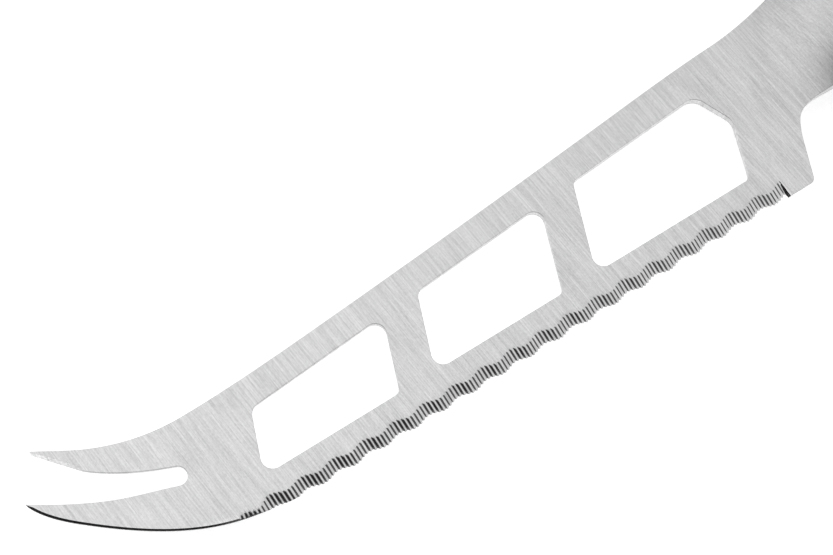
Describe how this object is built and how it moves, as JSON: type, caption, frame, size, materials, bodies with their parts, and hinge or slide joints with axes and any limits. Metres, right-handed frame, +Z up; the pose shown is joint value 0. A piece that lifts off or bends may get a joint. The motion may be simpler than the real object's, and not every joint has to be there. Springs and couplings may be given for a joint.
{
  "type": "cheese knife",
  "caption": "One-piece steel cheese knife with a forked upturned tip, large windows through the blade, a fine scalloped edge and a smooth oval handle, lying on its side.",
  "frame": {"origin": "middle of the flat on the handle's lower side, on the surface that the knife lies on", "axes": "+X from the forked tip towards the butt, +Y from the serrated edge towards the spine, +Z up, out of the ground face of the blade"},
  "size_m": [0.2582, 0.0353, 0.0156],
  "materials": {
    "steel": "satin, brushed across the blade"
  },
  "bodies": {
    "root": {"cheese_knife": "steel"}
  },
  "joints": []
}
